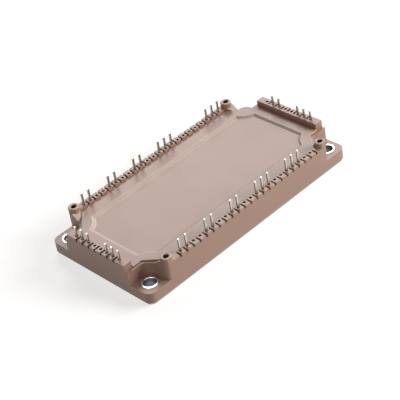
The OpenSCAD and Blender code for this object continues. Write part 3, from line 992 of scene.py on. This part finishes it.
@dataclass
class Bushings:
    """Four turned steel bushings, placed by Geometry Nodes on the screw spacing."""

    spacing: tuple[float, float] = (110 * MM, 50 * MM)
    bore: float = 2.75 * MM
    outer: float = 3.8 * MM
    foot: float = 3.0 * MM
    top: float = 6.6 * MM
    chamfer: float = 0.25 * MM
    round_over: float = 0.18 * MM
    round_steps: int = 3
    steps: int = 96
    crease: float = math.radians(30)

    def section(self) -> list[tuple[float, float]]:
        """Draws the closed cross-section, bore side first.

        Returns:
            Its points, as radius and height.
        """
        points = [(self.bore, self.foot + self.chamfer), (self.bore, self.top - self.chamfer)]
        points.append((self.bore + self.chamfer, self.top))
        for step in range(self.round_steps + 1):
            angle = math.radians(90 - step * 90 / self.round_steps)
            radius = self.outer - self.round_over * (1 - math.cos(angle))
            points.append((radius, self.top - self.round_over * (1 - math.sin(angle))))
        points += [(self.outer, self.foot), (self.bore + self.chamfer, self.foot)]
        return points

    def turned(self) -> bpy.types.Mesh:
        """Turns one bushing about Z, keeps each point's place along the section, and marks the
        bore's points for painted shade.

        Returns:
            The bushing's mesh.
        """
        section = self.section()
        work = bmesh.new()
        ring = work.verts.layers.float.new(RING)
        painted_shade_mask = work.verts.layers.float.new(PAINTED_SHADE)
        rounds = []
        for step in range(self.steps):
            angle = 2 * math.pi * step / self.steps
            loop = []
            for radius, height in section:
                place = (radius * math.cos(angle), radius * math.sin(angle), height)
                vert = work.verts.new(place)
                vert[ring] = radius + height
                # The bore's points get the painted-shade mark.
                vert[painted_shade_mask] = 1.0 if radius < self.bore + self.chamfer / 2 else 0.0
                loop.append(vert)
            rounds.append(loop)
        count = len(section)
        for step in range(self.steps):
            this, following = rounds[step], rounds[(step + 1) % self.steps]
            for index in range(count):
                after = (index + 1) % count
                work.faces.new((this[index], this[after], following[after], following[index]))
        bmesh.ops.recalc_face_normals(work, faces=work.faces)
        mesh = bpy.data.meshes.new("one_bushing")
        work.to_mesh(mesh)
        work.free()
        return mesh

    def tree(self) -> bpy.types.NodeTree:
        """Builds the tree that sets copies of a mesh at the corners of a rectangle.

        Returns:
            The tree.
        """
        sheet = RepeatSheet(
            "at_four_corners", (("Spacing X", "NodeSocketFloat"), ("Spacing Y", "NodeSocketFloat"))
        )
        sizes = {f"Size {axis}": sheet.given[f"Spacing {axis}"] for axis in "XY"}
        grid = sheet.add("GeometryNodeMeshGrid", {"Vertices X": 2, "Vertices Y": 2, **sizes})
        feeds = {"Points": grid, "Instance": sheet.given["Geometry"]}
        return sheet.close(sheet.add("GeometryNodeInstanceOnPoints", feeds))

    def build(self, shop: Shop) -> bpy.types.Object:
        """Makes and dresses the four bushings as one piece.

        Args:
            shop: The finishes.

        Returns:
            The piece.
        """
        across, along = self.spacing
        values = {"Spacing X": across, "Spacing Y": along, "Material": shop.material(ZINC)}
        piece = Workbench.repeat(self.turned(), "screw_bushings", self.tree(), values)
        Workbench.smooth_by_angle(piece, self.crease)
        shop.dress(piece, ZINC)
        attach(piece, ROOT)
        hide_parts(*(f"bushing_{number}" for number in range(1, 5)))
        return piece


@dataclass
class PinRows:
    """The solder pins: one Geometry Nodes tree bends a pin and repeats it along a row."""

    width: float = 0.98 * MM
    thickness: float = 0.84 * MM
    solid_thickness: float = 1.0 * MM
    ledge: float = 7.0 * MM
    tip: float = 20.5 * MM
    edge_radius: float = 0.16 * MM
    taper: float = 0.4 * MM
    tip_share: float = 0.65
    path_points: int = 64
    corner_points: int = 3
    crease: float = math.radians(40)

    def tree(self) -> bpy.types.NodeTree:
        """Builds the tree of one row.

        Returns:
            The tree.
        """
        section = ("Pin Width", "Pin Thickness", "Edge Radius")
        path = ("Foot Reach", "Foot Height", "Tip Height", "Taper Length", "Tip Share", "Turn")
        inputs = [(name, "NodeSocketFloat") for name in (*section, *path)]
        sheet = RepeatSheet("bent_pin_row", (*inputs, ("Path Points", "NodeSocketInt")))
        given = sheet.given
        rise = sheet.math("SUBTRACT", given["Tip Height"], given["Foot Height"])
        length = sheet.math("ADD", rise, given["Foot Reach"])
        end = sheet.add("ShaderNodeCombineXYZ", {"Z": length})
        straight = sheet.add("GeometryNodeCurvePrimitiveLine", {"End": end})
        feeds = {"Curve": straight, "Count": given["Path Points"]}
        divided = sheet.add("GeometryNodeResampleCurve", feeds)
        share = sheet.add("GeometryNodeSplineParameter").outputs["Factor"]
        along = sheet.math("MULTIPLY", share, length)
        past = sheet.math("SUBTRACT", along, given["Foot Reach"])
        inwards = sheet.math("MINIMUM", past, 0.0)
        height = sheet.math("ADD", sheet.math("MAXIMUM", past, 0.0), given["Foot Height"])
        bent = sheet.add("ShaderNodeCombineXYZ", {"Y": inwards, "Z": height})
        shaped = sheet.add("GeometryNodeSetPosition", {"Geometry": divided, "Position": bent})
        left = sheet.math("DIVIDE", sheet.math("SUBTRACT", length, along), given["Taper Length"])
        narrow = sheet.span(left, given["Tip Share"], 1.0)
        tapered = sheet.add("GeometryNodeSetCurveRadius", {"Curve": shaped, "Radius": narrow})
        feeds = {"Width": given["Pin Width"], "Height": given["Pin Thickness"]}
        sharp = sheet.add("GeometryNodeCurvePrimitiveQuadrilateral", feeds)
        feeds = {"Curve": sharp, "Count": self.corner_points, "Radius": given["Edge Radius"]}
        rounded = sheet.add("GeometryNodeFilletCurve", feeds, mode="POLY")
        radius = sheet.add("GeometryNodeInputRadius")
        feeds = {"Curve": tapered, "Profile Curve": rounded, "Scale": radius, "Fill Caps": True}
        swept = sheet.add("GeometryNodeCurveToMesh", feeds)
        turn = sheet.add("ShaderNodeCombineXYZ", {"Z": given["Turn"]})
        feeds = {"Points": given["Geometry"], "Instance": swept, "Rotation": turn}
        return sheet.close(sheet.add("GeometryNodeInstanceOnPoints", feeds))

    def row_places(self, row: Row, count: int) -> tuple[list[Vector], float, float]:
        """Reads a row's places off its CAD pins.

        Args:
            row: The row.
            count: Its number of pins.

        Returns:
            The places at height 0, the turn about Z and the foot's reach inwards.
        """
        turns = {Row.FRONT: math.pi, Row.REAR: 0.0, Row.LEFT: math.pi / 2, Row.RIGHT: -math.pi / 2}
        outward = Vector((0.0, 1.0, 0.0))
        outward.rotate(Matrix.Rotation(turns[row], 3, "Z"))
        places, reach = [], 0.0
        for number in range(1, count + 1):
            low, high = (Vector(corner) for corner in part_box(f"{row.value}_pin_{number}"))
            middle = (low + high) / 2
            half = abs((high - low).dot(outward)) / 2
            shank = middle + outward * (half - self.solid_thickness / 2)
            reach = 2 * half - self.solid_thickness / 2
            places.append(Vector((shank.x, shank.y, 0.0)))
        return places, turns[row], reach

    def build(self, nodes: dict[str, bpy.types.Object], shop: Shop) -> list[bpy.types.Object]:
        """Makes and dresses the four rows.

        Args:
            nodes: The CAD nodes by name.
            shop: The finishes.

        Returns:
            One piece for each row.
        """
        tree = self.tree()
        pieces = []
        for row in Row:
            names = [name for name in nodes if name.startswith(f"{row.value}_pin_")]
            places, turn, reach = self.row_places(row, len(names))
            mesh = bpy.data.meshes.new(f"{row.value}_places")
            mesh.from_pydata([tuple(place) for place in places], [], [])
            values = {
                "Pin Width": self.width,
                "Pin Thickness": self.thickness,
                "Edge Radius": self.edge_radius,
                "Foot Reach": reach,
                "Foot Height": self.ledge + self.thickness / 2,
                "Tip Height": self.tip,
                "Taper Length": self.taper,
                "Tip Share": self.tip_share,
                "Path Points": self.path_points,
                "Turn": turn,
                "Material": shop.material(TINNED),
            }
            piece = Workbench.repeat(mesh, f"{row.value}_pins", tree, values)
            Workbench.smooth_by_angle(piece, self.crease)
            shop.dress(piece, TINNED)
            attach(piece, ROOT)
            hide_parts(*names)
            pieces.append(piece)
        return pieces


@dataclass(frozen=True)
class Softbox:
    """One soft studio lamp, aimed at the part, and either mirrored in it or not."""

    name: str
    azimuth: float
    elevation: float
    distance: float
    size: tuple[float, float]
    power: float
    colour: Colour = (1.0, 1.0, 1.0)
    mirrored: bool = True

    def build(self, target: Vector) -> None:
        """Puts the lamp up.

        Args:
            target: Where it is aimed.
        """
        light = bpy.data.lights.new(self.name, "AREA")
        light.shape = "RECTANGLE"
        light.size, light.size_y = self.size
        light.energy = self.power
        light.color = self.colour
        lamp = bpy.data.objects.new(self.name, light)
        lamp.visible_glossy = self.mirrored
        azimuth, elevation = math.radians(self.azimuth), math.radians(self.elevation)
        flat = math.cos(elevation)
        towards = Vector((math.cos(azimuth) * flat, math.sin(azimuth) * flat, math.sin(elevation)))
        lamp.location = target + towards * self.distance
        lamp.rotation_euler = towards.to_track_quat("Z", "Y").to_euler()
        bpy.context.scene.collection.objects.link(lamp)


@dataclass
class Studio:
    """The camera, the lamps, the pale floor and the white surroundings.

    The camera's azimuth is counted from the front, and the lamps' from the right.
    """

    azimuth: float = -38.907
    elevation: float = 36.706
    roll: float = -10.46
    distance: float = 584.41 * MM
    target: tuple[float, float, float] = (-5.437 * MM, -5.0 * MM, 7.947 * MM)
    lens: float = 121.81
    sensor: float = 36.0
    nearest: float = 0.01
    floor_size: float = 6.0
    floor_drop: float = 0.02 * MM
    floor_tone: float = 0.52
    floor_glow: float = 0.66
    fill: float = 0.05
    fill_colour: Colour = (1.0, 0.9, 0.82)
    softboxes: tuple[Softbox, ...] = (
        Softbox("rear_softbox", 52.0, 38.0, 1.1, (0.62, 0.48), 5.1),
        Softbox("front_softbox", -42.0, 24.0, 1.2, (0.8, 0.6), 18.2, (0.98, 1.0, 1.0), False),
        Softbox("left_softbox", -160.0, 30.0, 1.2, (0.7, 0.7), 2.75, (1.0, 0.88, 0.78)),
    )

    def camera(self) -> None:
        """Sets the camera up at the photograph's viewing angle."""
        angles = (self.azimuth, self.elevation, self.roll)
        azimuth, elevation, roll = (math.radians(angle) for angle in angles)
        flat = math.cos(elevation)
        back = Vector((math.sin(azimuth) * flat, -math.cos(azimuth) * flat, math.sin(elevation)))
        right = Vector((math.cos(azimuth), math.sin(azimuth), 0.0))
        up = back.cross(right)
        turned_right = right * math.cos(roll) + up * math.sin(roll)
        turned_up = up * math.cos(roll) - right * math.sin(roll)
        pose = Matrix((turned_right, turned_up, back)).transposed().to_4x4()
        pose.translation = Vector(self.target) + back * self.distance
        data = bpy.data.cameras.new("camera")
        data.lens = self.lens
        data.sensor_width = self.sensor
        data.sensor_fit = "HORIZONTAL"
        data.clip_start = self.nearest
        camera = bpy.data.objects.new("camera", data)
        camera.matrix_world = pose
        bpy.context.scene.collection.objects.link(camera)
        bpy.context.scene.camera = camera

    @staticmethod
    def _seen(sheet: NodeSheet) -> bpy.types.NodeSocket:
        """Picks out the camera, glossy and transmission rays, which show the surroundings.

        Args:
            sheet: The sheet of the world or the floor.

        Returns:
            A socket that is 1 for those rays.
        """
        path = sheet.add("ShaderNodeLightPath")
        seen = sheet.math("MAXIMUM", path.outputs["Is Camera Ray"], path.outputs["Is Glossy Ray"])
        return sheet.math("MAXIMUM", seen, path.outputs["Is Transmission Ray"])

    def surroundings(self) -> None:
        """Fills the shadows faintly, and shows white behind the part."""
        world = bpy.data.worlds.new("studio")
        world.use_nodes = True
        world.node_tree.nodes.clear()
        sheet = NodeSheet(world.node_tree)
        feeds = {"Color": (*self.fill_colour, 1.0), "Strength": self.fill}
        fill = sheet.add("ShaderNodeBackground", feeds)
        shown = sheet.add("ShaderNodeBackground", {"Color": (1.0, 1.0, 1.0, 1.0)})
        mixed = sheet.add("ShaderNodeMixShader", {"Fac": self._seen(sheet), 1: fill, 2: shown})
        sheet.add("ShaderNodeOutputWorld", {"Surface": mixed})
        bpy.context.scene.world = world

    def floor(self) -> None:
        """Lays the pale floor, which keeps a faint shadow of the part."""
        half = self.floor_size / 2
        mesh = bpy.data.meshes.new("floor")
        outline = [(-half, -half, 0), (half, -half, 0), (half, half, 0), (-half, half, 0)]
        mesh.from_pydata(outline, [], [(0, 1, 2, 3)])
        floor = bpy.data.objects.new("floor", mesh)
        floor.location.z = -self.floor_drop
        bpy.context.scene.collection.objects.link(floor)
        material = bpy.data.materials.new("pale_floor")
        material.use_nodes = True
        material.node_tree.nodes.clear()
        sheet = NodeSheet(material.node_tree)
        tone = self.floor_tone
        matt = sheet.add("ShaderNodeBsdfDiffuse", {"Color": (tone, tone, tone, 1.0)})
        strength = sheet.math("MULTIPLY", self._seen(sheet), self.floor_glow)
        glow = sheet.add("ShaderNodeEmission", {"Strength": strength})
        both = sheet.add("ShaderNodeAddShader", {0: matt, 1: glow})
        sheet.add("ShaderNodeOutputMaterial", {"Surface": both})
        mesh.materials.append(material)

    def build(self) -> None:
        """Sets up the whole studio."""
        bpy.context.scene.view_settings.view_transform = "Standard"
        self.camera()
        self.surroundings()
        self.floor()
        for softbox in self.softboxes:
            softbox.build(Vector(self.target))


def main() -> None:
    """Builds the studio and the module's pieces in order."""
    logging.basicConfig(level=logging.INFO, format="%(name)s: %(message)s")
    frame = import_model()
    nodes = frame["nodes"]
    shop = Shop()
    Studio().build()
    casing, bushings = Casing().build(nodes, shop), Bushings().build(shop)
    for piece in (*casing, bushings, *PinRows().build(nodes, shop)):
        LOG.info("%s: %d faces", piece.name, len(piece.data.polygons))
    LOG.info("%d hidden solids and the base plate dressed", Insides().build(nodes, shop))


if __name__ == "__main__":
    main()
